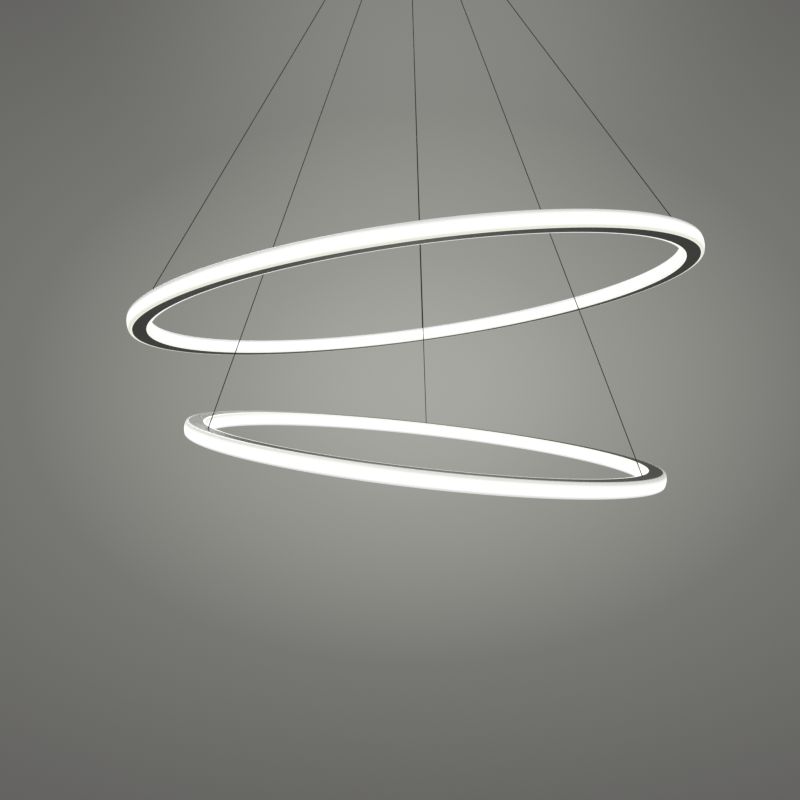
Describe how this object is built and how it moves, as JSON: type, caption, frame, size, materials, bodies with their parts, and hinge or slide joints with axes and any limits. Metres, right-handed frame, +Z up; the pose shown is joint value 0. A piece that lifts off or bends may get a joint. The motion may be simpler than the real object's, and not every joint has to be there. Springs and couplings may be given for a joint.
{
  "type": "led ring chandelier",
  "caption": "Pendant light of slim glowing rings that hang tilted, one below the other, on thin steel wires from a round canopy; each ring is a metal band between opal diffusers.",
  "frame": {"origin": "on the ceiling, in the middle of the mounting plate's upper face and of its two slots", "axes": "+Z up into the ceiling, +X to the right and -Y towards the person who looks at the front"},
  "size_m": [0.7952, 0.798, 0.8309],
  "materials": {
    "grey_aluminium": "satin anodised",
    "plain_aluminium": "mill",
    "opal": "satin opal",
    "light_strip": "matte",
    "grey_plastic": "matte",
    "canopy_paint": "satin powder coat",
    "zinc_steel": "zinc plated",
    "plated_metal": "satin nickel",
    "wire_steel": "stainless",
    "bearing_steel": "polished",
    "spring_steel": "stainless",
    "driver_case": "moulded",
    "white_plastic": "moulded",
    "brass_screw": "plain",
    "black_rubber": "matte"
  },
  "bodies": {
    "canopy": {"ceiling_plate": "zinc_steel", "cable_grommet": "black_rubber", "terminal_block": "white_plastic", "earth_screw": "brass_screw", "upper_ring_driver": "driver_case", "lower_ring_driver": "driver_case", "driver_and_terminal_screws": "zinc_steel", "canopy_cup": "canopy_paint", "canopy_side_screws": "plated_metal", "gripper_nuts": "plated_metal", "upper_gripper_barrels": "plated_metal", "upper_ball_ends_fixed": "wire_steel", "upper_gripper_spring_back": "spring_steel", "upper_wire_back": "wire_steel", "upper_gripper_spring_front_left": "spring_steel", "upper_wire_front_left": "wire_steel", "upper_gripper_spring_front_right": "spring_steel", "upper_wire_front_right": "wire_steel", "lower_gripper_barrels": "plated_metal", "lower_ball_ends_fixed": "wire_steel", "lower_gripper_spring_back": "spring_steel", "lower_wire_back": "wire_steel", "lower_gripper_spring_front_left": "spring_steel", "lower_wire_front_left": "wire_steel", "lower_gripper_spring_front_right": "spring_steel", "lower_wire_front_right": "wire_steel"},
    "upper_ring": {"upper_ring_profile": "grey_aluminium", "upper_ring_anchor_bushings": "grey_plastic", "upper_ring_outer_diffuser": "opal", "upper_ring_inner_diffuser": "opal", "upper_ring_outer_light_strip": "light_strip", "upper_ring_inner_light_strip": "light_strip", "upper_ring_joiners": "plain_aluminium", "upper_ball_end_front_right": "wire_steel"},
    "lower_ring": {"lower_ring_profile": "grey_aluminium", "lower_ring_anchor_bushings": "grey_plastic", "lower_ring_outer_diffuser": "opal", "lower_ring_inner_diffuser": "opal", "lower_ring_outer_light_strip": "light_strip", "lower_ring_inner_light_strip": "light_strip", "lower_ring_joiners": "plain_aluminium", "lower_ball_end_front_right": "wire_steel"},
    "upper_nose_back": {"upper_gripper_nose_back": "plated_metal", "upper_gripper_balls_back": "bearing_steel"},
    "upper_nose_front_left": {"upper_gripper_nose_front_left": "plated_metal", "upper_gripper_balls_front_left": "bearing_steel"},
    "upper_nose_front_right": {"upper_gripper_nose_front_right": "plated_metal", "upper_gripper_balls_front_right": "bearing_steel"},
    "lower_nose_back": {"lower_gripper_nose_back": "plated_metal", "lower_gripper_balls_back": "bearing_steel"},
    "lower_nose_front_left": {"lower_gripper_nose_front_left": "plated_metal", "lower_gripper_balls_front_left": "bearing_steel"},
    "lower_nose_front_right": {"lower_gripper_nose_front_right": "plated_metal", "lower_gripper_balls_front_right": "bearing_steel"}
  },
  "joints": [
    {"name": "upper_ring_tilt", "type": "hinge", "parent": "canopy", "child": "upper_ring", "pos_m": [-0.16511, 0.10349, -0.57373], "axis": [-0.5392, -0.8422, -0.001], "range_deg": [-7.7, 7.3], "deforming": ["upper_wire_front_right"]},
    {"name": "upper_nose_back_release", "type": "slide", "parent": "canopy", "child": "upper_nose_back", "axis": [0, 0, 1], "range_m": [0, 0.0015], "stiffness_N_per_m": 800, "springref_m": -0.002, "deforming": ["upper_gripper_spring_back"]},
    {"name": "upper_nose_front_left_release", "type": "slide", "parent": "canopy", "child": "upper_nose_front_left", "axis": [0, 0, 1], "range_m": [0, 0.0015], "stiffness_N_per_m": 800, "springref_m": -0.002, "deforming": ["upper_gripper_spring_front_left"]},
    {"name": "upper_nose_front_right_release", "type": "slide", "parent": "canopy", "child": "upper_nose_front_right", "axis": [0, 0, 1], "range_m": [0, 0.0015], "stiffness_N_per_m": 800, "springref_m": -0.002, "deforming": ["upper_gripper_spring_front_right"]},
    {"name": "lower_ring_tilt", "type": "hinge", "parent": "canopy", "child": "lower_ring", "pos_m": [-0.12887, 0.08232, -0.73908], "axis": [-0.5222, -0.8528, 0.0072], "range_deg": [-6.5, 8.5], "deforming": ["lower_wire_front_right"]},
    {"name": "lower_nose_back_release", "type": "slide", "parent": "canopy", "child": "lower_nose_back", "axis": [0, 0, 1], "range_m": [0, 0.0015], "stiffness_N_per_m": 800, "springref_m": -0.002, "deforming": ["lower_gripper_spring_back"]},
    {"name": "lower_nose_front_left_release", "type": "slide", "parent": "canopy", "child": "lower_nose_front_left", "axis": [0, 0, 1], "range_m": [0, 0.0015], "stiffness_N_per_m": 800, "springref_m": -0.002, "deforming": ["lower_gripper_spring_front_left"]},
    {"name": "lower_nose_front_right_release", "type": "slide", "parent": "canopy", "child": "lower_nose_front_right", "axis": [0, 0, 1], "range_m": [0, 0.0015], "stiffness_N_per_m": 800, "springref_m": -0.002, "deforming": ["lower_gripper_spring_front_right"]}
  ]
}
